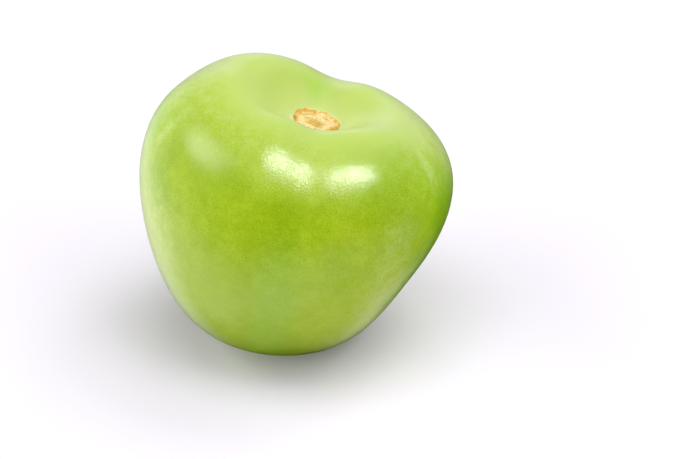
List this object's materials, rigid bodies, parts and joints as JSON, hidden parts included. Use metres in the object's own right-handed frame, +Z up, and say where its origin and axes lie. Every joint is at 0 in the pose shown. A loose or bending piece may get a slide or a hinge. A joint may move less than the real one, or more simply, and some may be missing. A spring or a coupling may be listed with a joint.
{
  "type": "tomatillo fruit",
  "caption": "Large tomatillo with its husk taken off: a lopsided, lobed green fruit with a sunken corky stem scar, resting on a small flat spot.",
  "frame": {"origin": "middle of the bottom of the fruit's bounding box, on the flat spot that it rests on", "axes": "+Z up from the flat spot towards the stem scar, -Y towards the front lobes, +X towards the side that the fruit leans to"},
  "size_m": [0.0614, 0.0596, 0.0555],
  "materials": {
    "green_skin": "thin glossy living skin, slightly sticky and waxy, over pale translucent flesh",
    "stem_scar": "dry matt cork with a cracked surface"
  },
  "bodies": {
    "root": {"fruit": "green_skin"}
  },
  "joints": []
}
